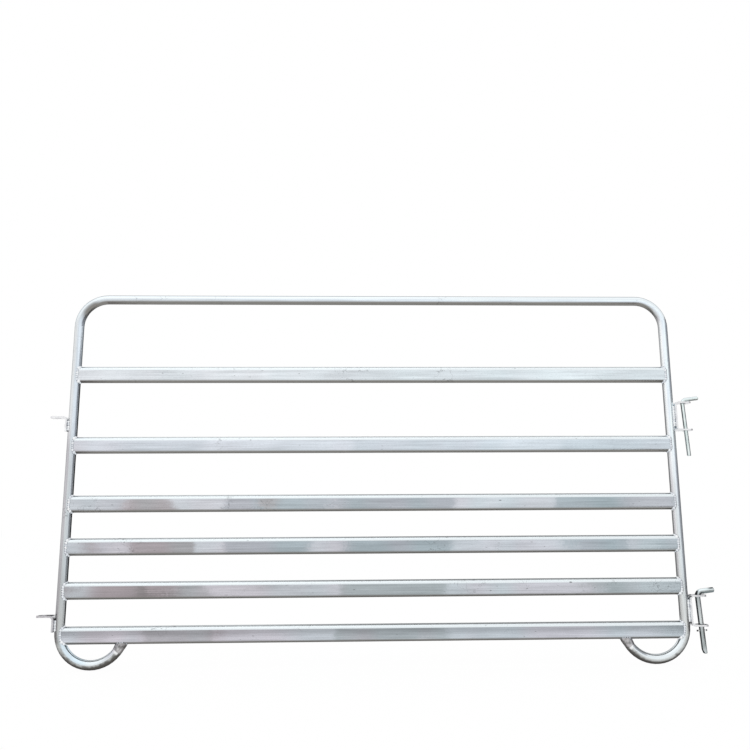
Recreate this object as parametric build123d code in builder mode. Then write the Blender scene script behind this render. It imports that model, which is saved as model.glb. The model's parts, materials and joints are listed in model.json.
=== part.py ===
from build123d import *

import os
from math import acos, atan, cos, degrees, pi, radians, sin, sqrt

os.makedirs("parts", exist_ok=True)

# Sheep panel, in millimetres. X runs along the panel with the drop pins at +X, Y through its depth
# with the front at -Y, and Z up. The origin is on the ground, midway between the two uprights.

# Frame: one round tube, bent at the top corners and into a ski under each upright, which ends flattened
upright_spacing = 2200.0  # between the upright centrelines
tube_diameter = 33.7
tube_wall = 2.0
corner_radius = 103.0  # to the centreline of a top bend
ski_radius = 112.0  # to the centreline of a ski
ski_seat = 6.0  # how far a ski's end reaches up around the lowest rail
ski_end_depth = 24.0  # across the flattened end of a ski
ski_end_length = 30.0  # from round to fully flattened
ski_end_crown = 0.5  # how far the flattened faces still bulge

# Rails: flat-oval tube, numbered from the top
rail_height = 60.0
rail_depth = 30.0
rail_wall = 1.5
foot_gap = 86.0  # ground to the lowest rail
lamb_gap = 90.0  # between the four lowest rails
middle_gap = 150.0
upper_gap = 200.0
top_gap = 240.0  # highest rail to the top of the frame

# Lugs and brackets: flat bar bent on the flat
lug_width = 40.0
plate_thickness = 6.0
plate_bend = 9.0  # inside radius of a bend
plate_corner = 12.0  # rounded corners at a free end
upper_lug_height = 878.0  # middle of a bracket, and of the eye plate opposite
lower_lug_height = 181.0
bracket_height = 108.0  # over the two lugs of a bracket
eye_leg = 55.0  # over the eye plate and the leg welded to the upright
slot_wall = 2.5  # metal beyond the slot of a lug

# Drop pins: round bar with a bent handle, and a slotted cross pin through the lower one
upper_pin_diameter = 14.0
lower_pin_diameter = 18.0
pin_play = 6.5  # difference between the hole and the pin
pin_clearance = 0.4  # left between a leaning pin and the rims of its holes
pin_standoff = 32.5  # from the face of the bracket's web to the middle of the hole
pin_tip_depth = 93.0  # from the underside of a bracket to the pin's tip
pin_tip_chamfer = 1.5
lower_tip_bevel = 18.0  # up the slanting cut at the lower pin's tip
lower_tip_bevel_depth = 7.5  # across it
handle_length = 60.0  # from the pin's axis to the end of the handle
handle_bend = 16.0  # centreline radius
handle_rise = 7.0  # degrees above level
handle_chamfer = 1.5
cross_pin_diameter = 6.0
cross_pin_length = 36.0
cross_pin_wall = 1.2
cross_pin_slit = 1.4
cross_pin_gap = 12.0  # between the bracket and the cross pin
cross_pin_clearance = 0.8  # each side of the cross pin in a lug's slot

# Welds
weld_leg = 4.0
lug_weld_width = 9.0
lug_weld_setback = 3.0  # from the tube's side to the outer edge of a lug's weld

# Places worked out from the sizes above
half_spacing = upright_spacing / 2
tube_radius = tube_diameter / 2
ski_height = ski_radius + tube_radius
ski_inset = half_spacing - ski_radius
rail_heights = [foot_gap + rail_height / 2]
for gap in (lamb_gap, lamb_gap, lamb_gap, middle_gap, upper_gap):
    rail_heights.append(rail_heights[-1] + rail_height + gap)
lowest_rail = rail_heights[0]
highest_rail = rail_heights[-1]
top_height = highest_rail + rail_height / 2 + top_gap + tube_radius
ski_rise = max(foot_gap - ski_height, 0) + rail_height
ski_turn = acos(max(ski_height - foot_gap, 0) / ski_radius)  # from a ski's lowest point to the rail
ski_round_turn = ski_turn - ski_end_length / ski_radius  # from there to where the flattening starts
ski_end_radius = ski_end_depth / 2
ski_end_flat = pi * (tube_radius - ski_end_radius)  # keeps the length of tube around the section
cut_width = 2 * (tube_diameter + rail_depth)  # wider than any tube with its weld
pin_offset = tube_radius + plate_thickness + pin_standoff
slot_width = cross_pin_diameter + 2 * cross_pin_clearance
slot_length = cross_pin_length + pin_play + 2 * cross_pin_clearance
lug_reach = pin_offset + slot_length / 2 + slot_wall
lug_heights = {"upper": upper_lug_height, "lower": lower_lug_height}
pin_diameters = {"upper": upper_pin_diameter, "lower": lower_pin_diameter}
pin_lean = atan((pin_play / 2 - pin_clearance) / (bracket_height / 2))


def trace_frame():
    """Centreline of the frame, down to the lowest point of each ski."""
    shoulder = top_height - corner_radius
    with BuildLine(Plane.XZ) as route:
        CenterArc((-ski_inset, ski_height), ski_radius, 270, -90)
        Line((-half_spacing, ski_height), (-half_spacing, shoulder))
        CenterArc((corner_radius - half_spacing, shoulder), corner_radius, 180, -90)
        Line((corner_radius - half_spacing, top_height), (half_spacing - corner_radius, top_height))
        CenterArc((half_spacing - corner_radius, shoulder), corner_radius, 90, -90)
        Line((half_spacing, shoulder), (half_spacing, ski_height))
        CenterArc((ski_inset, ski_height), ski_radius, 0, -90)
    return route.wire()


def trace_ski(side):
    """Centreline of a ski from its lowest point up to where it starts to be flattened."""
    with BuildLine(Plane.XZ) as route:
        CenterArc((side * ski_inset, ski_height), ski_radius, -90, -side * degrees(ski_round_turn))
    return route.wire()


def sweep_round(path, radius, bore=0.0):
    """Round bar or tube along a path."""
    with BuildPart() as bar:
        with BuildSketch(Plane(path @ 0, z_dir=path % 0)):
            Circle(radius)
            if bore:
                Circle(bore, mode=Mode.SUBTRACT)
        sweep(path=path)
    return bar.part


def flatten_ski_end(side, growth=0.0):
    """End of a ski from round to flattened and on past the rail, with its surface moved out by growth."""
    round_radius = tube_radius + growth
    end_radius = ski_end_radius + growth
    flat_turn = ski_end_flat / tube_diameter
    round_corner = (round_radius * sin(flat_turn), round_radius * cos(flat_turn))
    end_corner = (ski_end_flat / 2, end_radius)
    sections = [
        (ski_round_turn, round_corner, round_radius, round_radius),
        (ski_turn, end_corner, ski_end_flat / 2 + end_radius, end_radius + ski_end_crown),
    ]
    with BuildPart() as end:
        for turn, (x, y), half_width, half_depth in sections:
            outward = Vector(-side * sin(turn), 0, -cos(turn))
            centre = Vector(side * ski_inset, 0, ski_height) + ski_radius * outward
            with BuildSketch(Plane(centre, x_dir=outward, z_dir=(-side * cos(turn), 0, sin(turn)))):
                with BuildLine():
                    ThreePointArc((-x, y), (0, half_depth), (x, y))
                    ThreePointArc((x, y), (half_width, 0), (x, -y))
                    ThreePointArc((x, -y), (0, -half_depth), (-x, -y))
                    ThreePointArc((-x, -y), (-half_width, 0), (-x, y))
                make_face()
        loft(ruled=True)
        extrude(end.faces().sort_by(Axis.Z)[-1], amount=ski_rise)
    return end.part


def sweep_flat_bar(path):
    """Flat bar bent along a path, with its width across the panel."""
    with BuildPart() as bar:
        with BuildSketch(Plane(path @ 0, x_dir=(0, 1, 0), z_dir=path % 0)):
            Rectangle(lug_width, plate_thickness)
        sweep(path=path)
    return bar.part


def weld_lugs(side, spans):
    """Welds in the corners between a flat plate and an upright, over each span of heights."""
    outer_edge = tube_radius - lug_weld_setback
    with BuildPart() as welds:
        for low, high in spans:
            with BuildSketch(Plane.XY.offset(low)):
                with Locations((side * (half_spacing + tube_radius / 2), 0)):
                    Rectangle(tube_radius, 2 * outer_edge)
                    Rectangle(tube_radius, 2 * (outer_edge - lug_weld_width), mode=Mode.SUBTRACT)
                with Locations((side * half_spacing, 0)):
                    Circle(tube_radius, mode=Mode.SUBTRACT)
            extrude(amount=high - low)
    return welds.part


def shape_pin_way(name, x):
    """The space that a pin needs through its lugs, with a slot for the cross pin of the lower one."""
    with BuildPart() as way:
        with BuildSketch(Plane.XY.offset(lug_heights[name])):
            with Locations((x, 0)):
                Circle((pin_diameters[name] + pin_play) / 2)
                if name == "lower":
                    Rectangle(slot_length, slot_width)
        extrude(amount=bracket_height, both=True)
    return way.part


def place_pin(name):
    """Plane of a pin and its handle, with Y up the leaning pin."""
    return Plane(
        (half_spacing + pin_offset, 0, lug_heights[name]),
        x_dir=(cos(pin_lean), 0, sin(pin_lean)),
        z_dir=(0, -1, 0),
    )


# The outside of the frame, which the rail ends are cut to fit, and of the welds along it
frame_outside = sweep_round(trace_frame(), tube_radius)
frame_weld_outside = sweep_round(trace_frame(), tube_radius + weld_leg)

# The outside of the lowest rail between the skis, and of the ski ends cut off level inside it
with BuildPart() as lowest_rail_outside:
    with BuildSketch(Plane.YZ):
        with Locations((0, lowest_rail)):
            SlotOverall(rail_height, rail_depth, rotation=90)
    extrude(amount=ski_inset, both=True)

with BuildPart() as above_ski_ends:
    with BuildSketch(Plane.XY.offset(foot_gap + ski_seat)):
        Rectangle(2 * ski_inset, cut_width)
    extrude(amount=ski_height + ski_rise)

with BuildPart() as ski_ends_outside:
    for side in (-1, 1):
        add(flatten_ski_end(side))
    add(above_ski_ends.part, mode=Mode.SUBTRACT)

# Frame tube, with its ski ends cut to sit on the lowest rail
with BuildPart() as frame_tube:
    add(sweep_round(trace_frame(), tube_radius, tube_radius - tube_wall))
    for side in (-1, 1):
        add(sweep_round(trace_ski(side), tube_radius, tube_radius - tube_wall))
        add(flatten_ski_end(side))
        add(flatten_ski_end(side, -tube_wall), mode=Mode.SUBTRACT)
    add(above_ski_ends.part, mode=Mode.SUBTRACT)
    add(lowest_rail_outside.part, mode=Mode.SUBTRACT)
frame_tube.part.label = "frame_tube"
export_step(frame_tube.part, "parts/frame_tube.step")

# Welds between the ski ends and the lowest rail
ski_weld_outsides = [flatten_ski_end(side, weld_leg) for side in (-1, 1)]
with BuildPart() as ski_welds:
    with BuildSketch(Plane.XY.offset(foot_gap - weld_leg)):
        Rectangle(2 * ski_inset, cut_width)
    extrude(amount=ski_seat + 2 * weld_leg)
    add(ski_weld_outsides, mode=Mode.INTERSECT)
    add(lowest_rail_outside.part, mode=Mode.SUBTRACT)
    add(ski_ends_outside.part, mode=Mode.SUBTRACT)
ski_welds.part.label = "ski_welds"
export_step(ski_welds.part, "parts/ski_welds.step")

# Rails, with their ends cut to the uprights, and the weld round each end
weld_start = sqrt(max(tube_radius**2 - (rail_depth / 2) ** 2, 0)) - weld_leg
for number, height in enumerate(reversed(rail_heights), start=1):
    with BuildPart() as rail:
        with BuildSketch(Plane.YZ):
            with Locations((0, height)):
                SlotOverall(rail_height, rail_depth, rotation=90)
            offset(amount=-rail_wall, mode=Mode.SUBTRACT)
        extrude(amount=half_spacing, both=True)
        add(frame_outside, mode=Mode.SUBTRACT)
    rail.part.label = f"rail_{number}"
    export_step(rail.part, f"parts/rail_{number}.step")

    with BuildPart() as rail_welds:
        with BuildSketch(Plane.YZ):
            with Locations((0, height)):
                SlotOverall(rail_height + 2 * weld_leg, rail_depth + 2 * weld_leg, rotation=90)
                SlotOverall(rail_height, rail_depth, rotation=90, mode=Mode.SUBTRACT)
        extrude(amount=half_spacing - weld_start, both=True)
        add(frame_weld_outside, mode=Mode.INTERSECT)
        add(frame_outside, mode=Mode.SUBTRACT)
    rail_welds.part.label = f"rail_{number}_welds"
    export_step(rail_welds.part, f"parts/rail_{number}_welds.step")

# Eyes on the left upright: a level plate with a hole for a pin, and a leg welded down the tube
web_middle = half_spacing + tube_radius + plate_thickness / 2
for name, height in lug_heights.items():
    leg_end = height + plate_thickness / 2 - eye_leg
    with BuildLine(Plane.XZ) as eye_route:
        FilletPolyline(
            (-web_middle, leg_end),
            (-web_middle, height),
            (-half_spacing - lug_reach, height),
            radius=plate_bend + plate_thickness / 2,
        )
    with BuildPart() as eye:
        add(sweep_flat_bar(eye_route.wire()))
        fillet(eye.edges().filter_by(Axis.Z).group_by(Axis.X)[0], plate_corner)
        add(shape_pin_way(name, -half_spacing - pin_offset), mode=Mode.SUBTRACT)
    eye.part.label = f"{name}_eye"
    export_step(eye.part, f"parts/{name}_eye.step")

bend_height = plate_bend + plate_thickness
eye_spans = [
    (height + plate_thickness / 2 - eye_leg, height + plate_thickness / 2 - bend_height)
    for height in lug_heights.values()
]
with BuildPart() as eye_welds:
    add(weld_lugs(-1, eye_spans))
eye_welds.part.label = "eye_welds"
export_step(eye_welds.part, "parts/eye_welds.step")

# Brackets on the right upright: two level lugs on a web, with holes that a pin drops through
for name, height in lug_heights.items():
    lug_rise = (bracket_height - plate_thickness) / 2
    with BuildLine(Plane.XZ) as bracket_route:
        FilletPolyline(
            (half_spacing + lug_reach, height + lug_rise),
            (web_middle, height + lug_rise),
            (web_middle, height - lug_rise),
            (half_spacing + lug_reach, height - lug_rise),
            radius=plate_bend + plate_thickness / 2,
        )
    with BuildPart() as bracket:
        add(sweep_flat_bar(bracket_route.wire()))
        fillet(bracket.edges().filter_by(Axis.Z).group_by(Axis.X)[-1], plate_corner)
        add(shape_pin_way(name, half_spacing + pin_offset), mode=Mode.SUBTRACT)
    bracket.part.label = f"{name}_bracket"
    export_step(bracket.part, f"parts/{name}_bracket.step")

bracket_spans = [
    (height - bracket_height / 2 + bend_height, height + bracket_height / 2 - bend_height)
    for height in lug_heights.values()
]
with BuildPart() as bracket_welds:
    add(weld_lugs(1, bracket_spans))
bracket_welds.part.label = "bracket_welds"
export_step(bracket_welds.part, "parts/bracket_welds.step")

# Drop pins: each leans as far as its holes let it, with its handle on the upper lug
handle_slope = radians(handle_rise) - pin_lean
tip_height = -(bracket_height / 2 + pin_tip_depth) / cos(pin_lean)
cross_pin_height = -(bracket_height / 2 + cross_pin_gap + cross_pin_diameter / 2) / cos(pin_lean)
cross_plane = Plane(
    place_pin("lower").from_local_coords((-cross_pin_length / 2, cross_pin_height, 0)),
    x_dir=(0, 1, 0),
    z_dir=place_pin("lower").x_dir,
)
for name, diameter in pin_diameters.items():
    pin_radius = diameter / 2
    handle_height = bracket_height / 2 / cos(pin_lean) + pin_radius + pin_clearance
    with BuildLine(place_pin(name)) as pin_route:
        FilletPolyline(
            (0, tip_height),
            (0, handle_height),
            (handle_length * cos(handle_slope), handle_height + handle_length * sin(handle_slope)),
            radius=handle_bend,
        )
    with BuildPart() as drop_pin:
        add(sweep_round(pin_route.wire(), pin_radius))
        rims = drop_pin.edges().filter_by(GeomType.CIRCLE)
        chamfer(rims.sort_by(Axis.Z)[0], pin_tip_chamfer)
        chamfer(rims.sort_by(Axis.X)[-1], handle_chamfer)
        if name == "lower":
            with BuildSketch(place_pin(name)):
                with BuildLine():
                    Polyline(
                        (-pin_radius, tip_height),
                        (lower_tip_bevel_depth - pin_radius, tip_height),
                        (-pin_radius, tip_height + lower_tip_bevel),
                        close=True,
                    )
                make_face()
            extrude(amount=pin_radius, both=True, mode=Mode.SUBTRACT)
            with BuildSketch(cross_plane):
                Circle(cross_pin_diameter / 2)
            extrude(amount=cross_pin_length, mode=Mode.SUBTRACT)
    drop_pin.part.label = f"{name}_drop_pin"
    export_step(drop_pin.part, f"parts/{name}_drop_pin.step")

# Cross pin: a rolled spring pin through the lower drop pin
with BuildPart() as cross_pin:
    with BuildSketch(cross_plane):
        Circle(cross_pin_diameter / 2)
        offset(amount=-cross_pin_wall, mode=Mode.SUBTRACT)
        with Locations((0, -cross_pin_diameter / 2)):
            Rectangle(cross_pin_slit, cross_pin_diameter, mode=Mode.SUBTRACT)
    extrude(amount=cross_pin_length)
cross_pin.part.label = "cross_pin"
export_step(cross_pin.part, "parts/cross_pin.step")

print("pin lean", round(degrees(pin_lean), 2), "degrees")
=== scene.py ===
import json
from math import acos, cos, exp, pi, radians, sin, sqrt

import bpy
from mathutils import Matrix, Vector, noise


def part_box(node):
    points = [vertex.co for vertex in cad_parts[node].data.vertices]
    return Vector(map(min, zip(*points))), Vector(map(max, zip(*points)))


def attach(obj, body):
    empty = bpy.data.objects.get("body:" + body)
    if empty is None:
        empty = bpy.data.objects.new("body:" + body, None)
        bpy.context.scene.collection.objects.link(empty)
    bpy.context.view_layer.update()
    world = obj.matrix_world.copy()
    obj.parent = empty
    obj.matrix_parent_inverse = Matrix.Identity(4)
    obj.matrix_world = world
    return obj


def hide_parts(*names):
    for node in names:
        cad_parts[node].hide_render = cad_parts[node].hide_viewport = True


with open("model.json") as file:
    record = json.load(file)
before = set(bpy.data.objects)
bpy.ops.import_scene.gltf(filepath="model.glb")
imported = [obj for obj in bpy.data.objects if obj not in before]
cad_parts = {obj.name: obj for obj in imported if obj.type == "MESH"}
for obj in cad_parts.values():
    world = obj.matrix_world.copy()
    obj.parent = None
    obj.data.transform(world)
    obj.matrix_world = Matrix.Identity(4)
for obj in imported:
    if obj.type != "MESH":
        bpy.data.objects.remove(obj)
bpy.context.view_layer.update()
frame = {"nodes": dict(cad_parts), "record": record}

# The panel's sizes, in metres. X runs along it, the photographed side faces -Y, and Z is up.
frame_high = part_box("frame_tube")[1]
tube_radius = frame_high.y
upright_x = frame_high.x - tube_radius
rail_low, rail_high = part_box("rail_1")
rail_radius = rail_high.y
rail_straight = rail_high.z - rail_low.z - 2 * rail_radius
rail_count = 6
corner_radius = 0.103  # to the centreline of a top bend
bend_x = upright_x - corner_radius
bend_z = frame_high.z - tube_radius - corner_radius
ski_radius = 0.112  # to the centreline of a ski
ski_height = ski_radius + tube_radius
ski_inset = upright_x - ski_radius
ski_end_radius = 0.012
ski_end_flat = pi * (tube_radius - ski_end_radius)
pressed_turn = 0.93  # radians round a ski, from its lowest point to where its pressed end starts
fifth_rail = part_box("rail_5")
lowest_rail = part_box("rail_6")
eye_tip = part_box("lower_eye")[0].x
bracket_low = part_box("lower_bracket")[0].z
bracket_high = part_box("lower_bracket")[1].z
pin_x = sum(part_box("cross_pin"), Vector()).x / 2
handle_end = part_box("lower_drop_pin")[1].x

# The finishes change from left to right across the middle, and from the lower fittings to the upper ones
middle_half = 0.1
lower_level = 0.4
upper_level = 0.7


# Shader nodes
class Field:
    """A number or colour that varies over a surface: one output of a shader node."""

    def __init__(self, tree, socket):
        self.tree = tree
        self.socket = socket

    def math(self, operation, *others):
        """The result of a Math node."""
        return add_node(self.tree, "Math", [self, *others], operation=operation)

    def __add__(self, other):
        return self.math("ADD", other)

    def __sub__(self, other):
        return self.math("SUBTRACT", other)

    def __mul__(self, other):
        return self.math("MULTIPLY", other)

    def __neg__(self):
        return self * -1.0

    def __abs__(self):
        return self.math("ABSOLUTE")

    def ease(self, low, high, start=0.0, end=1.0):
        """From start, where the number is low, smoothly to end, where it is high."""
        inputs = [self, low, high, start, end]
        return add_node(self.tree, "MapRange", inputs, "Result", interpolation_type="SMOOTHSTEP")

    def parts(self):
        """X, Y and Z of a vector."""
        node = add_node(self.tree, "SeparateXYZ", [self]).socket.node
        return [Field(self.tree, socket) for socket in node.outputs]


def connect(tree, value, socket):
    """Links a field to a socket, or sets the socket to a constant."""
    if isinstance(value, Field):
        tree.links.new(value.socket, socket)
    elif isinstance(value, tuple) and len(value) == 3 and socket.type == "RGBA":
        socket.default_value = (*value, 1.0)
    else:
        socket.default_value = value


def add_node(tree, kind, inputs=(), output=0, **options):
    """Adds a node with its inputs, in order or by name, and returns one of its outputs."""
    node = tree.nodes.new(f"ShaderNode{kind}")
    for name, value in options.items():
        setattr(node, name, value)
    pairs = inputs.items() if isinstance(inputs, dict) else enumerate(inputs)
    for key, value in pairs:
        connect(tree, value, node.inputs[key])
    return Field(tree, node.outputs[output])


def left_to_right(x, left, right):
    """One number on the panel's left half, and another on its right half."""
    return x.ease(-middle_half, middle_half, left, right)


def low_to_high(z, lower, upper):
    """One number on the lower fittings, and another on the upper ones."""
    return z.ease(lower_level, upper_level, lower, upper)


def on_rail(z, rail):
    """1 on the rail with that box, and 0 on the others."""
    margin = 0.02
    low, high = rail
    return z.ease(low.z - margin, low.z) * z.ease(high.z + margin, high.z)


class Finish:
    """A material with one Principled BSDF, and the patterns that feed it."""

    def __init__(self, name, **constants):
        self.material = bpy.data.materials.new(name)
        self.material.use_nodes = True
        self.tree = self.material.node_tree
        self.shader = self.tree.nodes["Principled BSDF"]
        self.place = add_node(self.tree, "TexCoord", output="Object")
        self.normal = Field(self.tree, self.place.socket.node.outputs["Normal"])
        self.set(**constants)

    def set(self, **values):
        """Sets inputs of the shader, named with underscores for spaces."""
        for name, value in values.items():
            connect(self.tree, value, self.shader.inputs[name.replace("_", " ").title()])

    def noise(self, size, shift=0.0, detail=3.0, rough=0.5):
        """Noise from 0 to 1 with blotches of one size, or of a size along each of X, Y and Z."""
        sizes = size if isinstance(size, tuple) else (size, size, size)
        scale = tuple(1 / length for length in sizes)
        stretch = {"Vector": self.place, "Scale": scale, "Location": (shift, shift, shift)}
        stretched = add_node(self.tree, "Mapping", stretch)
        inputs = {"Vector": stretched, "Scale": 1.0, "Detail": detail, "Roughness": rough}
        return add_node(self.tree, "TexNoise", inputs, "Fac")

    def attribute(self, name):
        """A number stored on the points of a mesh."""
        return add_node(self.tree, "Attribute", output="Fac", attribute_name=name)

    def ramp(self, value, stops):
        """Colours along a number."""
        ramp = add_node(self.tree, "ValToRGB", [value], "Color")
        elements = ramp.socket.node.color_ramp.elements
        for place, _ in stops[2:]:
            elements.new(place)
        for element, (place, colour) in zip(elements, stops):
            element.position = place
            element.color = (*colour, 1.0)
        return ramp

    def mix(self, factor, first, second, blend="MIX"):
        """Two colours, from the first where factor is 0 to the second where it is 1.

        A Mix node has sockets for numbers and vectors too, so its colour sockets are found by their order.
        """
        node = self.tree.nodes.new("ShaderNodeMix")
        node.data_type = "RGBA"
        node.blend_type = blend
        colour_inputs = {0: factor, 6: first, 7: second}
        colour_output = 2
        for index, value in colour_inputs.items():
            connect(self.tree, value, node.inputs[index])
        return Field(self.tree, node.outputs[colour_output])

    def tint(self, factor, colour, tint):
        """A colour multiplied by a tint where factor is 1."""
        return self.mix(factor, colour, tint, "MULTIPLY")

    def bump(self, height, depth, strength):
        """Relief of that depth in metres."""
        inputs = {"Height": height, "Distance": depth, "Strength": strength}
        self.set(normal=add_node(self.tree, "Bump", inputs, "Normal"))


# Galvanised tube
edge_tint = (0.35, 0.36, 0.38)  # how a grazing view darkens the zinc
shade_colour = (0.025, 0.025, 0.028)
# Painted light and shade: a highlight on the upper sides, a dark reflection along the top, and shade on
# the undersides
top_highlight_colour = (0.82, 0.88, 0.91)
dust_and_reflection_colour = (0.22, 0.23, 0.23)
underside_shade_colour = (0.245, 0.237, 0.222)
low_underside_shade_colour = (0.185, 0.179, 0.168)
nick_colour = (0.07, 0.07, 0.07)
ski_shade_colour = (0.06, 0.055, 0.05)
crease_highlight_colour = (0.95, 0.96, 0.97)
pressed_colours = [(0.35, (0.16, 0.155, 0.155)), (0.62, (0.58, 0.56, 0.57))]
cool_reflection_tint = (0.92, 1.0, 1.085)
ski_front_reflection_tint = (0.80, 0.90, 0.97)
brown_tint = (0.68, 0.63, 0.615)
dull_tints = [(0.30, (0.67, 0.69, 0.67)), (0.40, (0.64, 0.69, 0.70))]  # by height
blush_tints = [(0.42, (0.97, 1.01, 1.01)), (0.58, (1.04, 0.985, 1.0))]
rail_tints = [(0.0, (1.02, 0.98, 0.995)), (1.0, (0.98, 1.0, 1.02))]  # from the left end to the right one
# Darker toward the bottom: painted shade for the darker ground that the low rails reflect
rail_tones = [  # by height
    (0.10, (0.500, 0.525, 0.560)),
    (0.27, (0.545, 0.575, 0.603)),
    (0.42, (0.565, 0.610, 0.642)),
    (0.57, (0.610, 0.650, 0.680)),
    (0.78, (0.695, 0.750, 0.800)),
    (1.00, (0.755, 0.820, 0.845)),
]
frame_tones = [  # by height
    (0.15, (0.600, 0.612, 0.600)),
    (0.50, (0.705, 0.718, 0.710)),
    (0.85, (0.825, 0.840, 0.845)),
    (1.00, (0.845, 0.862, 0.870)),
]
dust_and_reflection_strength = 0.45
grain_turn = (upright_x - 0.030, upright_x - 0.015)  # where the grain turns to follow an upright


class TubeZinc(Finish):
    """Weathered hot-dip galvanising on tube, with painted light and shade: what the rails and the frame
    share.
    """

    def __init__(self, name, stands):
        super().__init__(name, metallic=1.0, specular_tint=edge_tint)
        self.x, _, self.z = self.place.parts()
        self.facing_x, _, self.facing_up = self.normal.parts()
        self.upright = abs(self.x).ease(*grain_turn) if stands else None
        self.patterns = {
            "clouds": self.grain(length=0.15, width=0.06, shift=2.0),
            "streaks": self.grain(length=0.32, width=0.0024, shift=7.0, detail=2.0),
            "bands": self.grain(length=0.16, width=0.011, shift=13.0, detail=2.0),
            "spangle": self.noise(0.006, shift=11.0, detail=2.0),
        }
        self.feather = self.vary(streaks=0.07, clouds=0.08, spangle=0.05)

    def grain(self, length, width, **options):
        """Noise drawn out along the tube: along X, and along Z on the uprights."""
        lying = self.noise((length, width, width), **options)
        if self.upright is None:
            return lying
        standing = self.noise((width, width, length), **options)
        return lying + self.upright * (standing - lying)

    def vary(self, **weights):
        """The named patterns, each taken about zero and times its weight, added up."""
        terms = [(self.patterns[name] - 0.5) * weight for name, weight in weights.items()]
        return sum(terms[1:], terms[0])

    def bare_zinc(self, tones, shading):
        """A colour for each height, broken up by the patterns."""
        tone = self.vary(clouds=0.26, bands=0.40, streaks=0.60, spangle=0.12) + 1.0
        return self.tint(1.0, self.ramp(self.z, tones), tone * shading)

    def stretches(self, zinc, strength, dullest=0.0):
        """Long stretches of duller and browner zinc, most on the low rails, feathered along the tube."""
        low = self.z.ease(0.85, 0.60, start=0.2) * strength
        blush = self.noise((0.20, 0.5, 0.5), shift=31.0, detail=1.0)
        zinc = self.tint(low, zinc, self.ramp(blush, blush_tints))
        dull = self.noise((0.40, 0.5, 0.8), shift=993.13, detail=1.0)
        dull = (dull + self.feather).ease(0.44, 0.50)
        brown = self.noise((0.30, 0.5, 0.45), shift=170.58, detail=1.0)
        brown = (brown + self.feather).ease(0.60, 0.67)
        fade = abs(self.x).ease(0.82, 1.0, start=0.8, end=0.3)
        dull = (dull - brown).ease(0.0, 1.0) * low * fade
        zinc = self.tint(dull, zinc, self.ramp(self.z, dull_tints))
        brown = (brown * left_to_right(self.x, 1.0, 0.0)).math("MAXIMUM", dullest)
        return self.tint(brown * low, zinc, brown_tint)

    def paint_top_light_and_shade(self, zinc, dust_and_reflection, extra_shade=0.0):
        """Painted highlight on the upper sides, dust and a painted dark reflection along the top, and
        painted shade on the undersides and where extra shade is given.
        """
        # Painted highlight on the sides that face up
        top_lit = self.mix(self.facing_up.ease(-0.01, 0.16), zinc, top_highlight_colour)
        # Dust and a painted dark reflection along the very top
        top = self.facing_up.ease(0.60, 0.85)
        dust_and_dark_reflection = self.mix(top * dust_and_reflection, top_lit, dust_and_reflection_colour)
        # Painted shade on the undersides, and wherever extra shade is given
        underside = self.facing_up.ease(-0.18, -0.66)
        dull = self.ramp(self.z, [(0.1, low_underside_shade_colour), (0.8, underside_shade_colour)])
        return self.mix(underside.math("MAXIMUM", extra_shade), dust_and_dark_reflection, dull)

    def scuff(self, colour, roughness):
        """Thin curling lines in a few places, short nicks, and the grain of the surface."""
        curls = abs(self.noise((0.034, 0.034, 0.022), shift=23.0, detail=2.0) - 0.5).ease(0.014, 0.004)
        places = self.noise((0.16, 0.3, 0.20), shift=29.0, detail=1.0).ease(0.58, 0.66)
        nicks = self.noise((0.022, 0.004, 0.004), shift=19.0, detail=1.0).ease(0.76, 0.80)
        marked = self.mix(curls * places * 0.45, colour, nick_colour)
        self.set(base_color=self.mix(nicks * 0.8, marked, nick_colour))
        self.set(roughness=self.vary(clouds=0.20, streaks=0.15) + roughness)
        self.bump(self.vary(streaks=0.6, spangle=0.4), depth=0.0002, strength=0.4)


def galvanise_rails(name):
    """The flat-oval rails, with dull and brown stretches."""
    finish = TubeZinc(name, stands=False)
    x = finish.x
    z = finish.z

    # The right-hand ends are a little duller, and the lowest rail is painted darker still as shade, but
    # for its foot, which gets a painted reflection of the floor
    right_ends = x.ease(0.70, 0.95) * z.ease(0.30, 0.50) * -0.09 + 1.0
    lowest = on_rail(z, lowest_rail) * -0.21 + 1.0
    painted_foot = z.ease(lowest_rail[0].z + 0.040, lowest_rail[0].z + 0.014, start=1.0, end=1.5)
    zinc = finish.bare_zinc(rail_tones, right_ends * lowest * painted_foot)
    zinc = finish.tint(1.0, zinc, finish.ramp(x.ease(-upright_x, upright_x), rail_tints))

    # The left-hand end of the fifth rail is the dullest of all
    left_end = x.ease(-1.06, -0.94) * (x + finish.feather).ease(-0.63, -0.78)
    zinc = finish.stretches(zinc, strength=1.0, dullest=on_rail(z, fifth_rail) * left_end)

    # The low rails carry more dust and more painted dark reflection along the top, and the left-hand ends
    # less
    low_rails = z.ease(0.9, 0.4, start=1.0, end=1.9)
    left_ends = x.ease(-0.6, 0.1, start=0.55)
    colour = finish.paint_top_light_and_shade(zinc, low_rails * left_ends * dust_and_reflection_strength)
    finish.scuff(colour, roughness=0.25)
    return finish.material


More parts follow.
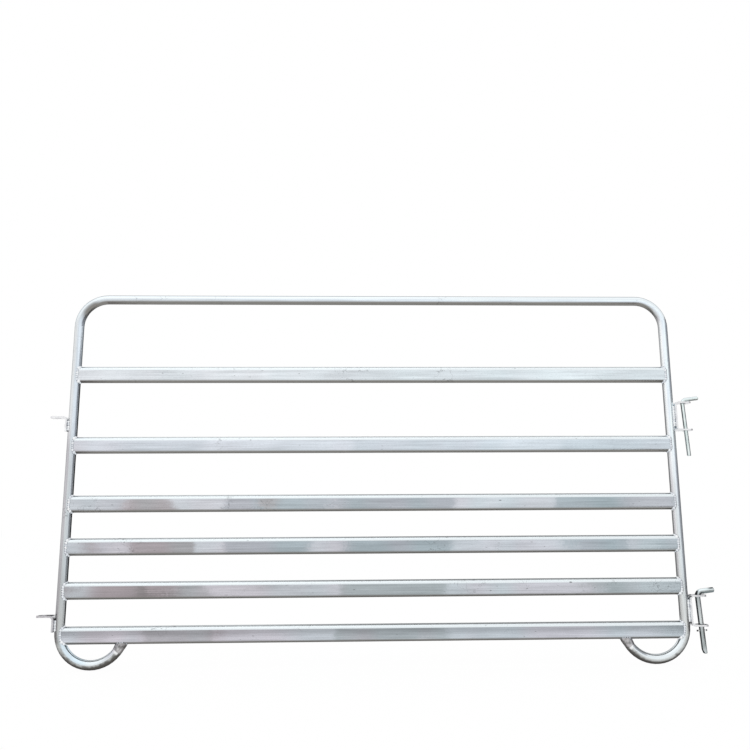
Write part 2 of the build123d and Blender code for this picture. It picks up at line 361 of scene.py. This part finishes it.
def paint_ski_light_and_shade(finish, colour, facing_out):
    """Painted shade on the skis, a painted cool reflection on the left one's front, and painted shade on
    their dull pressed ends, which start at a painted highlight.
    """
    x = finish.x
    z = finish.z
    facing_up = finish.facing_up
    left = left_to_right(x, 1.0, 0.0)
    from_centre = abs(x) - ski_inset
    below = -z + ski_height
    outward = (facing_out * from_centre - facing_up * below) * (1 / ski_radius)
    mottle = finish.noise(0.014, shift=37.0)
    shade_break_up = finish.vary(clouds=0.9) + (mottle - 0.5) * 0.9

    # Painted shade lies underneath, most under the left ski's tail, and on the outer side of the bends
    left_tail = from_centre.ease(0.0, -0.06) * left
    under = (facing_up + shade_break_up - left_tail * 0.3).ease(0.0, -0.6) * z.ease(0.19, 0.07)
    outer_side = (outward + shade_break_up * 0.3).ease(-0.1, 0.8) * z.ease(0.24, 0.14)
    outer_side = outer_side * left_to_right(x, 0.5, 0.9)
    colour = finish.mix(under.math("MAXIMUM", outer_side) * 0.85, colour, ski_shade_colour)

    # The left ski's bend gets a painted cool reflection where it isn't turned to the ground
    left_front = from_centre.ease(-0.01, 0.04) * left * z.ease(0.15, 0.11) * facing_up.ease(-0.2, 0.3)
    colour = finish.tint(left_front * 0.8, colour, ski_front_reflection_tint)

    # The pressed end is mottled dull metal darkened with painted shade, with more painted shade at its
    # edges, and starts at a crease with a painted highlight
    turn = (-from_centre).math("ARCTAN2", below)
    ski = z.ease(0.14, 0.12)
    pressed = turn.ease(pressed_turn, pressed_turn + 0.03) * ski
    crease = turn.ease(pressed_turn - 0.09, pressed_turn - 0.03)
    crease = crease * turn.ease(pressed_turn + 0.025, pressed_turn) * ski * outward.ease(0.7, 0.4)
    edges = pressed * abs(outward).ease(0.45, 0.9)
    colour = finish.mix(pressed * 0.85, colour, finish.ramp(mottle, pressed_colours))
    colour = finish.mix(crease * 0.8, colour, crease_highlight_colour)
    return finish.mix(edges * 0.7, colour, ski_shade_colour)


def galvanise_frame(name):
    """The frame's round tube, brighter toward the right."""
    finish = TubeZinc(name, stands=True)
    x = finish.x
    z = finish.z
    zinc = finish.bare_zinc(frame_tones, x.ease(-1.0, 1.0, start=0.89, end=1.12))

    # The sides that face right get a painted cool reflection, more so higher up
    cool_side = (finish.facing_x + x * 0.2).ease(-0.8, 0.3)
    cool_height = z.ease(0.15, 0.35, start=0.25, end=0.75) + z.ease(0.72, 0.85, end=0.3)
    zinc = finish.tint(cool_side * cool_height, zinc, cool_reflection_tint)
    zinc = finish.stretches(zinc, strength=0.1)

    # Painted shade follows the inside of the top bends, and is broader on the left one
    facing_out = finish.facing_x * x.math("SIGN")
    across = (abs(x) - bend_x).math("MAXIMUM", 0.0)
    above = (z - bend_z).math("MAXIMUM", 0.0)
    reach = (across * across + above * above).math("SQRT")
    inside = -(facing_out * across + finish.facing_up * above).math("DIVIDE", reach)
    turned = above.math("DIVIDE", reach)
    broad = turned.ease(1.0, 0.85) * turned.ease(0.2, 0.7) * left_to_right(x, 0.45, 0.0)
    bend_side = (inside + broad).ease(-0.05, 1.05) * turned.ease(0.05, 0.6) * left_to_right(x, 1.0, 0.8)
    colour = finish.paint_top_light_and_shade(zinc, dust_and_reflection_strength, bend_side)
    colour = paint_ski_light_and_shade(finish, colour, facing_out)

    # The uprights get painted shade, for a dark reflection, on the sides that face each other, most on the
    # left one
    inner_side = (inside + turned * 0.08).ease(0.84, 0.97) * turned.ease(0.98, 0.70)
    inner_side = inner_side * z.ease(0.13, 0.17) * z.ease(1.00, 1.06, start=1.0, end=0.7)
    inner_side = inner_side * left_to_right(x, 1.0, 0.72)
    finish.set(specular_tint=finish.mix(inner_side, edge_tint, shade_colour))
    finish.scuff(finish.mix(inner_side, colour, shade_colour), roughness=0.20)
    return finish.material


# Plates, pins and weld metal
plate_colours = [(0.3, (0.72, 0.72, 0.74)), (0.6, (0.94, 0.95, 0.96))]
lower_eye_tint = (0.74, 0.73, 0.74)
clean_edge_tint = (1.0, 1.0, 1.0)
plate_shade_edge_tint = (0.08, 0.09, 0.10)
plate_shade_colour = (0.06, 0.065, 0.07)
pin_edge_tint = (0.05, 0.08, 0.08)
bright_pin_colours = [(0.3, (0.62, 0.72, 0.71)), (0.7, (0.84, 0.91, 0.90))]
darker_pin_colours = [(0.3, (0.32, 0.36, 0.36)), (0.7, (0.54, 0.58, 0.59))]
rubbed_pin_colour = (0.75, 0.80, 0.80)
pin_side_shade_colour = (0.06, 0.07, 0.07)
handle_top_highlight_colour = (0.80, 0.88, 0.90)
handle_underside_shade_colour = (0.16, 0.20, 0.21)
dark_end_colour = (0.08, 0.09, 0.095)
cross_pin_zinc_colours = [(0.3, (0.70, 0.72, 0.72)), (0.7, (0.92, 0.93, 0.93))]
cross_pin_end_shade_colours = [(0.3, (0.02, 0.02, 0.02)), (0.7, (0.08, 0.08, 0.08))]
pit_shade_colour = (0.05, 0.05, 0.055)
# By level: dark in the grooves and pale on the crests, which are painted shade and highlight over the
# weld's own tone
weld_colours = [
    (0.12, (0.12, 0.125, 0.13)),
    (0.30, (0.50, 0.53, 0.57)),
    (0.50, (0.76, 0.80, 0.85)),
    (0.75, (0.95, 0.97, 0.98)),
]


def coat_plate(name):
    """Thick, slightly rough galvanising on flat bar, with a painted dark reflection on its level tops."""
    finish = Finish(name, metallic=1.0)
    x, _, z = finish.place.parts()
    facing_up = finish.normal.parts()[2]
    lower = low_to_high(z, 1.0, 0.0)
    clouds = finish.noise(0.02, detail=4.0, rough=0.6)
    grit = finish.noise(0.0025, shift=5.0)
    zinc = finish.ramp(clouds + (grit - 0.5) * 0.4, plate_colours)
    zinc = finish.tint(lower * left_to_right(x, 1.0, 0.0), zinc, lower_eye_tint)

    # The lower bracket gets painted shade round its pin and along its upper bend
    level_top = facing_up.ease(0.85, 0.97)
    hole = abs(x - pin_x).ease(0.020, 0.010) * level_top
    corner = z.ease(bracket_high - 0.007, bracket_high - 0.005)
    bend = x.ease(upright_x + 0.026, upright_x + 0.022) * x.ease(0.9, 1.0) * corner
    hole_and_bend_shade = (hole * clouds.ease(0.35, 0.5) + bend) * lower

    # The eye plates get more of the painted dark reflection than the brackets, most toward the tube
    amount = x.ease(eye_tip + 0.005, eye_tip + 0.040, start=-0.03, end=0.09) + left_to_right(x, 0.0, -0.13)
    plate_shade = level_top * (clouds + amount).ease(0.42, 0.58) * low_to_high(z, 1.0, 0.3)
    plate_shade = plate_shade.math("MAXIMUM", hole_and_bend_shade)
    finish.set(specular_tint=finish.mix(plate_shade, clean_edge_tint, plate_shade_edge_tint))
    finish.set(base_color=finish.mix(plate_shade * 0.9, zinc, plate_shade_colour))
    finish.set(roughness=grit * 0.25 + 0.28)
    finish.bump(clouds * 0.7 + grit * 0.3, depth=0.0005, strength=0.5)
    return finish.material


def plate_pin(name):
    """Zinc plate on round bar, rubbed lengthwise: bright on the upper pin, darker on the lower one."""
    finish = Finish(name, metallic=1.0, specular_tint=pin_edge_tint)
    x, _, z = finish.place.parts()
    facing_x, facing_y, facing_up = finish.normal.parts()
    rubs = finish.noise((0.0012, 0.0012, 0.05), detail=2.0)
    clouds = finish.noise((0.012, 0.012, 0.03), shift=9.0)
    wear = clouds + (rubs - 0.5) * 0.5

    def facing(direction_x, direction_y):
        """How squarely a surface faces a level direction."""
        return facing_x * direction_x + facing_y * direction_y

    # The lower pin is rubbed bright where it passes through its bracket, most low down
    in_bracket = z.ease(bracket_low - 0.003, bracket_low + 0.003)
    in_bracket = in_bracket * z.ease(bracket_high - 0.010, bracket_low + 0.010)
    lower_pin = finish.mix(in_bracket * 0.7, finish.ramp(wear, darker_pin_colours), rubbed_pin_colour)
    shaft = finish.mix(low_to_high(z, 0.0, 1.0), lower_pin, finish.ramp(wear, bright_pin_colours))

    # Both pins get painted shade, for a dark reflection, along the side to the left, and the upper one
    # along the right front too
    left_side = facing(-0.985, -0.17).ease(0.76, 0.90) * low_to_high(z, 0.95, 0.65)
    right_front = facing(0.82, -0.57).ease(0.90, 0.97) * low_to_high(z, 0.0, 0.6)
    shaft = finish.mix(left_side + right_front, shaft, pin_side_shade_colour)

    # The handles get a painted highlight on top and painted shade below, with painted shade at the foot
    # and a dark end on the lower one
    handle = finish.mix(facing_up.ease(0.05, 0.5), shaft, handle_top_highlight_colour)
    underside = facing_up.ease(0.0, -0.45) * low_to_high(z, 0.85, 0.10)
    handle = finish.mix(underside, handle, handle_underside_shade_colour)
    painted_foot = z.ease(bracket_high - 0.001, bracket_high) * z.ease(bracket_high + 0.017, bracket_high + 0.011)
    handle = finish.mix((-facing_x).ease(0.30, 0.60) * painted_foot, handle, shade_colour)
    top_end = facing_up.ease(0.40, 0.70) * x.ease(handle_end - 0.030, handle_end - 0.010)
    end_face = x.ease(handle_end - 0.002, handle_end - 0.001)
    dark_end = (end_face + top_end) * low_to_high(z, 1.0, 0.0)
    finish.set(base_color=finish.mix(dark_end, handle, dark_end_colour))
    finish.set(roughness=rubs * 0.12 + 0.10)
    finish.bump(rubs, depth=0.0002, strength=0.4)
    return finish.material


def darken_cross_pin(name):
    """Rolled spring steel: pale near the drop pin, with painted shade at the ends."""
    finish = Finish(name, metallic=1.0)
    x = finish.place.parts()[0]
    shaded_ends = abs(x - pin_x).ease(0.0135, 0.0150)
    mottle = finish.noise(0.002)
    zinc = finish.ramp(mottle, cross_pin_zinc_colours)
    end_shade = finish.ramp(mottle, cross_pin_end_shade_colours)
    finish.set(base_color=finish.mix(shaded_ends, zinc, end_shade))
    finish.set(roughness=mottle * 0.3 + 0.3)
    finish.bump(mottle, depth=0.0002, strength=0.4)
    return finish.material


def coat_weld(name):
    """Lumpy weld under galvanising: crests with painted highlights, grooves with painted shade, and some
    pits darkened with painted shade.
    """
    finish = Finish(name, metallic=1.0, specular_tint=edge_tint)
    grit = finish.noise(0.003)
    crest = finish.attribute("crest")
    shade = finish.attribute("shade")
    pit = finish.attribute("pit")
    # Crests are painted brighter and grooves darker, as painted highlight and shade
    level = crest * 0.35 + shade * 0.35 + (grit - 0.5) * 0.5 + 0.15
    finish.set(base_color=finish.mix(pit, finish.ramp(level, weld_colours), pit_shade_colour))
    finish.set(roughness=grit * 0.25 + 0.20)
    finish.bump(grit, depth=0.0004, strength=0.5)
    return finish.material


rail_zinc = galvanise_rails("galvanised_rail")
frame_zinc = galvanise_frame("galvanised_frame")
weld_zinc = coat_weld("weld_bead")
finishes = {
    "galvanised_tube": rail_zinc,
    "galvanised_plate": coat_plate("galvanised_plate"),
    "zinc_plated_pin": plate_pin("zinc_plated_pin"),
    "spring_steel_pin": darken_cross_pin("spring_steel_pin"),
    "weld_bead": weld_zinc,
}
for subpart in frame["record"]["subparts"]:
    node = subpart["node"]
    material = frame_zinc if node == "frame_tube" else finishes[subpart["material_slot"]]
    mesh = frame["nodes"][node].data
    mesh.materials.clear()
    mesh.materials.append(material)


# Welds: rippled beads along the seams
bead_half_width = 0.0058
bead_half_height = 0.0036
ripple_length = 0.0085
ripple_stray = 0.0009  # how far a ripple may lie beside the seam
ring_spacing = 0.0009
ring_points = 12
measure_steps = 400
direction_step = 0.002  # of a seam's length
taper_rate = 12  # an open bead is full from a twelfth of its length on
lump_reach = 0.025  # of a seam's length
rail_lumps = (0.42, 0.77)  # places along a rail's seam
plain_rise = 0.35
large_rise = 0.65
valley_swell = 0.66  # a bead's size between its ripples
crest_swell = 0.34  # and how much their crests and the wobble add to it
wobble_swell = 0.25
end_swell = 0.35  # the share of its size that an open bead keeps at its ends
wobble_shade = 0.9


def follow(seam, place, closed):
    """A seam's point, its outward direction and the direction across it, for a place from 0 to 1."""
    point, outward = seam(place)
    ahead = place + direction_step
    behind = place - direction_step
    if closed:
        tangent = seam(ahead % 1)[0] - seam(behind % 1)[0]
    else:
        tangent = seam(min(ahead, 1))[0] - seam(max(behind, 0))[0]
    return point, outward, tangent.normalized().cross(outward).normalized()


class BeadMesh:
    """One mesh of several beads, which stands for a CAD node of welds."""

    def __init__(self):
        self.points = []
        self.faces = []
        self.levels = {"crest": [], "shade": [], "pit": []}

    def add(self, seam, closed, seed, dark_side, lumps=(), rise=plain_rise, scale=1.0, dull=0.0):
        """Lays a bead along a seam, which gives a point and an outward direction for a place from 0 to 1.

        Its pits, darkened with painted shade, lie toward dark_side, and it swells by rise at the lumps,
        which are places along it.
        Its size elsewhere is times scale, and dull makes it darker.
        """
        samples = [seam(step / measure_steps)[0] for step in range(measure_steps + 1)]
        length = sum((after - before).length for before, after in zip(samples, samples[1:]))
        ripples = round(length / ripple_length)
        rings = round(length / ring_spacing)
        ring_count = rings if closed else rings + 1
        first = len(self.points)
        for ring in range(ring_count):
            place = ring / rings
            point, outward, across = follow(seam, place, closed)
            phase = place * ripples
            ripple = int(phase)
            crest = sqrt(max(1 - (2 * (phase - ripple) - 1) ** 2, 0))
            wobble = noise.noise(Vector((ripple * 0.73, seed * 5.1, 0)))
            stray = noise.noise(Vector((ripple * 0.61, seed * 3.7, 9)))
            heap = sum(exp(-(((place - lump) / lump_reach) ** 2)) for lump in lumps)
            full = 1 if closed else min(1, taper_rate * min(place, 1 - place))
            swell = scale * (valley_swell + crest_swell * crest + wobble_swell * wobble) + rise * heap
            swell *= end_swell + (1 - end_swell) * sqrt(full)
            centre = point + across * (ripple_stray * stray)
            shade = 0.5 + wobble_shade * wobble - dull + (rise - plain_rise) * heap
            hollow = full * max(0, 1 - 1.5 * crest**2 + wobble_shade * wobble)
            for k in range(ring_points):
                angle = 2 * pi * k / ring_points
                sideways = across * (bead_half_width * cos(angle))
                upward = outward * (bead_half_height * sin(angle))
                dark = max(0, 1.3 * cos(angle) * across.dot(dark_side))
                self.points.append(centre + (sideways + upward) * swell)
                self.levels["crest"].append(crest)
                self.levels["shade"].append(shade)
                self.levels["pit"].append(dark * hollow)
        for ring in range(rings):
            this = first + ring * ring_points
            after = first + (ring + 1) % ring_count * ring_points
            for k in range(ring_points):
                beside = (k + 1) % ring_points
                self.faces.append((this + k, this + beside, after + beside, after + k))
        if not closed:
            last = first + rings * ring_points
            self.faces.append(tuple(first + k for k in reversed(range(ring_points))))
            self.faces.append(tuple(last + k for k in range(ring_points)))

    def stand_for(self, node):
        """Makes the object, which replaces the node and rides on the panel."""
        mesh = bpy.data.meshes.new(f"{node}_beads")
        mesh.from_pydata(self.points, [], self.faces)
        mesh.shade_smooth()
        for name, values in self.levels.items():
            mesh.attributes.new(name, "FLOAT", "POINT").data.foreach_set("value", values)
        mesh.materials.append(weld_zinc)
        beads = bpy.data.objects.new(f"{node}_beads", mesh)
        bpy.context.scene.collection.objects.link(beads)
        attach(beads, "panel")
        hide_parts(node)


def walk_slot(place, straight, radius):
    """Point and normal for a place from 0 to 1 round a flat oval, as (u, v), with u along its length."""
    along = place * (2 * straight + 2 * pi * radius)
    if along < straight:
        return (along - straight / 2, radius), (0, 1)
    along -= straight
    if along < pi * radius:
        angle = along / radius
        return (straight / 2 + radius * sin(angle), radius * cos(angle)), (sin(angle), cos(angle))
    along -= pi * radius
    if along < straight:
        return (straight / 2 - along, -radius), (0, -1)
    angle = (along - straight) / radius
    return (-straight / 2 - radius * sin(angle), -radius * cos(angle)), (-sin(angle), -cos(angle))


def rail_end_seam(side, height):
    """The seam round a rail's end: on the upright, or below the ski's middle on the bend of the ski."""

    def seam(place):
        (u, y), (normal_u, normal_y) = walk_slot(place, rail_straight, rail_radius)
        z = height + u
        inward = sqrt(tube_radius**2 - y**2)
        if z > ski_height:
            x = upright_x - inward
            tube_normal = Vector((-side * inward, y, 0))
        else:
            bend = sqrt((ski_radius - inward) ** 2 - (z - ski_height) ** 2)
            x = ski_inset + bend
            to_middle = Vector((-bend, 0, ski_height - z)).normalized()
            tube_normal = Vector((side * to_middle.x * inward, y, to_middle.z * inward))
        outward = tube_normal.normalized() + Vector((0, normal_y, normal_u))
        return Vector((side * x, y, z)), outward.normalized()

    return seam


def ski_end_seam(side):
    """The seam round a ski's flattened end, where it meets the underside of the lowest rail."""
    rail_bottom = lowest_rail[0].z
    rail_centre = rail_bottom + rail_radius
    turn = acos((ski_height - rail_bottom) / ski_radius)
    radial = Vector((-side * sin(turn), 0, -cos(turn)))
    tangent = Vector((-side * cos(turn), 0, sin(turn)))
    middle = Vector((side * ski_inset, 0, ski_height)) + radial * ski_radius

    def seam(place):
        (u, y), (normal_u, normal_y) = walk_slot(place, ski_end_flat, ski_end_radius)
        drop = sqrt(rail_radius**2 - y**2)
        rise = (rail_centre - drop - middle.z - u * radial.z) / tangent.z
        point = middle + radial * u + tangent * rise + Vector((0, y, 0))
        outward = radial * normal_u + Vector((0, normal_y, 0)) + Vector((0, y, -drop)) / rail_radius
        return point, outward.normalized()

    return seam


def plate_seam(side, front, low, high):
    """The upright seam between a flat plate and the tube."""
    depth = 0.0118
    clearance = 0.0012
    lean = 0.25
    x = upright_x + sqrt(tube_radius**2 - depth**2) + clearance

    def seam(place):
        point = Vector((side * x, front * depth, low + place * (high - low)))
        return point, Vector((side * lean, front, 0)).normalized()

    return seam


for number in range(1, rail_count + 1):
    low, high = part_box(f"rail_{number}")
    beads = BeadMesh()
    for side in (-1, 1):
        left = side < 0
        beads.add(
            rail_end_seam(side, (low.z + high.z) / 2),
            closed=True,
            seed=number + 10 * side,
            dark_side=Vector((side, 0, 0)),
            lumps=rail_lumps,
            rise=large_rise if left and number <= 2 else plain_rise,
            scale=0.9 if left else 0.85,
            dull=0.15 if left else 0.25,
        )
    beads.stand_for(f"rail_{number}_welds")

beads = BeadMesh()
for side in (-1, 1):
    seam = ski_end_seam(side)
    beads.add(seam, closed=True, seed=30 + side, dark_side=Vector((0, 0, 1)), scale=0.45, dull=1.0)
beads.stand_for("ski_welds")

plate_bend_height = 0.015
eye_foot_height = 0.002
plates = [
    ("eye", -1, eye_foot_height, {"dark_side": Vector((-1, 0, 0))}),
    ("bracket", 1, plate_bend_height, {"dark_side": Vector((0, 0, 0)), "scale": 0.9, "dull": -0.3}),
]
for kind, side, foot_height, look in plates:
    beads = BeadMesh()
    for level in ("upper", "lower"):
        low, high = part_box(f"{level}_{kind}")
        for front in (-1, 1):
            seam = plate_seam(side, front, low.z + foot_height, high.z - plate_bend_height)
            beads.add(seam, closed=False, seed=40 + side + 3 * front + low.z, **look)
    beads.stand_for(f"{kind}_welds")


# Stage: pale floor, white surroundings, soft lamps
sky_light = 0.55
floor_half = 30.0
floor_colour = (0.86, 0.86, 0.86)
floor_roughness = 0.9
floor_glow = 1.035
floor_white = 0.93  # the rest of the floor's look is lit paper, which takes the shadow
lamp_target = (0, 0, 0.6)
lamp_power = 10


def show_white(tree, dim):
    """1 where the camera, a reflection or a view through glass looks, and dim for light on surfaces."""
    kinds = ("Camera", "Glossy", "Transmission")
    seen, mirrored, passed = [add_node(tree, "LightPath", output=f"Is {kind} Ray") for kind in kinds]
    return (seen + mirrored + passed).ease(0.0, 1.0, dim, 1.0)


world = bpy.data.worlds.new("studio")
bpy.context.scene.world = world
world.use_nodes = True
sky = world.node_tree.nodes["Background"]
sky.inputs["Color"].default_value = (1.0, 1.0, 1.0, 1.0)
connect(world.node_tree, show_white(world.node_tree, sky_light), sky.inputs["Strength"])

floor_mesh = bpy.data.meshes.new("floor")
floor_corners = [(x * floor_half, y * floor_half, 0) for x, y in ((-1, -1), (1, -1), (1, 1), (-1, 1))]
floor_mesh.from_pydata(floor_corners, [], [(0, 1, 2, 3)])
floor = bpy.data.objects.new("floor", floor_mesh)
bpy.context.scene.collection.objects.link(floor)
paper = Finish("floor_paper", base_color=floor_colour, roughness=floor_roughness)
lit = Field(paper.tree, paper.shader.outputs[0])
glow = add_node(paper.tree, "Emission", {"Strength": floor_glow})
blend = add_node(paper.tree, "MixShader", [show_white(paper.tree, 0.0) * floor_white, lit, glow])
connect(paper.tree, blend, paper.tree.nodes["Material Output"].inputs["Surface"])
floor_mesh.materials.append(paper.material)


def add_lamp(name, place, size):
    """A large soft lamp that shines on the panel."""
    lamp = bpy.data.lights.new(name, "AREA")
    lamp.shape = "RECTANGLE"
    lamp.size, lamp.size_y = size
    lamp.energy = lamp_power
    holder = bpy.data.objects.new(name, lamp)
    holder.location = place
    holder.rotation_euler = (Vector(lamp_target) - Vector(place)).to_track_quat("-Z", "Y").to_euler()
    bpy.context.scene.collection.objects.link(holder)


add_lamp("key", place=(-1.6, -2.4, 4.4), size=(5.0, 5.0))
add_lamp("top", place=(0, 0.4, 4.2), size=(6.0, 4.0))


def add_card(name, corners, faces, tones):
    """A card with a colour at each corner, which shows only as a reflection in the metal."""
    mesh = bpy.data.meshes.new(name)
    mesh.from_pydata(corners, [], faces)
    tone = mesh.attributes.new("tone", "FLOAT_COLOR", "POINT")
    for k, colour in enumerate(tones):
        tone.data[k].color = (*colour, 1.0)
    paint = bpy.data.materials.new(name)
    paint.use_nodes = True
    tree = paint.node_tree
    tree.nodes.remove(tree.nodes["Principled BSDF"])
    painted = add_node(tree, "Attribute", output="Color", attribute_name="tone")
    glow = add_node(tree, "Emission", {"Color": painted})
    connect(tree, glow, tree.nodes["Material Output"].inputs["Surface"])
    mesh.materials.append(paint)
    card = bpy.data.objects.new(name, mesh)
    bpy.context.scene.collection.objects.link(card)
    card.visible_camera = False
    card.visible_diffuse = False
    card.visible_transmission = False
    card.visible_shadow = False


def stand_cards(name, posts, top):
    """Upright cards in a row between posts, given as (x, y, colour), from the floor up."""
    count = len(posts)
    corners = [(x, y, z) for z in (0.0, top) for x, y, colour in posts]
    faces = [(k, k + 1, count + k + 1, count + k) for k in range(count - 1)]
    add_card(name, corners, faces, [colour for x, y, colour in posts] * 2)


right_posts = [
    (2.2, 1.0, (0.19, 0.185, 0.19)),
    (2.6, 1.0, (0.20, 0.195, 0.20)),
    (2.8, 0.0, (0.29, 0.28, 0.29)),
    (3.0, -1.2, (0.40, 0.395, 0.41)),
    (3.2, -2.6, (0.54, 0.56, 0.61)),
]
left_posts = [(-2.2, -2.0, (0.74, 0.70, 0.74)), (-2.2, 1.5, (0.85, 0.83, 0.86))]
stand_cards("right_cards", right_posts, top=2.0)
stand_cards("left_card", left_posts, top=0.95)

ground_height = 0.003
right_ground = [(1.3, -1.2), (2.95, -1.2), (2.6, 1.0), (1.9, 1.0)]
left_ground = [(-2.2, -0.8), (-1.35, -0.8), (-1.35, 1.0), (-2.2, 1.0)]
right_ground_colour = (0.28, 0.265, 0.26)
left_ground_colour = (0.50, 0.47, 0.48)
ground_corners = [(x, y, ground_height) for x, y in right_ground + left_ground]
ground_tones = [right_ground_colour] * 4 + [left_ground_colour] * 4
add_card("ground_cards", ground_corners, [(0, 1, 2, 3), (4, 5, 6, 7)], ground_tones)

# Camera
lens_pixels = 775
picture_pixels = 750
sensor_width = 36.0
camera_place = (-0.08468, -2.84019, 0.50611)
camera_degrees = (100.5609, 0.3267, -1.6752)
camera_data = bpy.data.cameras.new("camera")
camera_data.sensor_width = sensor_width
camera_data.lens = sensor_width * lens_pixels / picture_pixels
camera = bpy.data.objects.new("camera", camera_data)
camera.location = camera_place
camera.rotation_euler = [radians(angle) for angle in camera_degrees]
bpy.context.scene.collection.objects.link(camera)
bpy.context.scene.camera = camera
bpy.context.scene.view_settings.view_transform = "Standard"
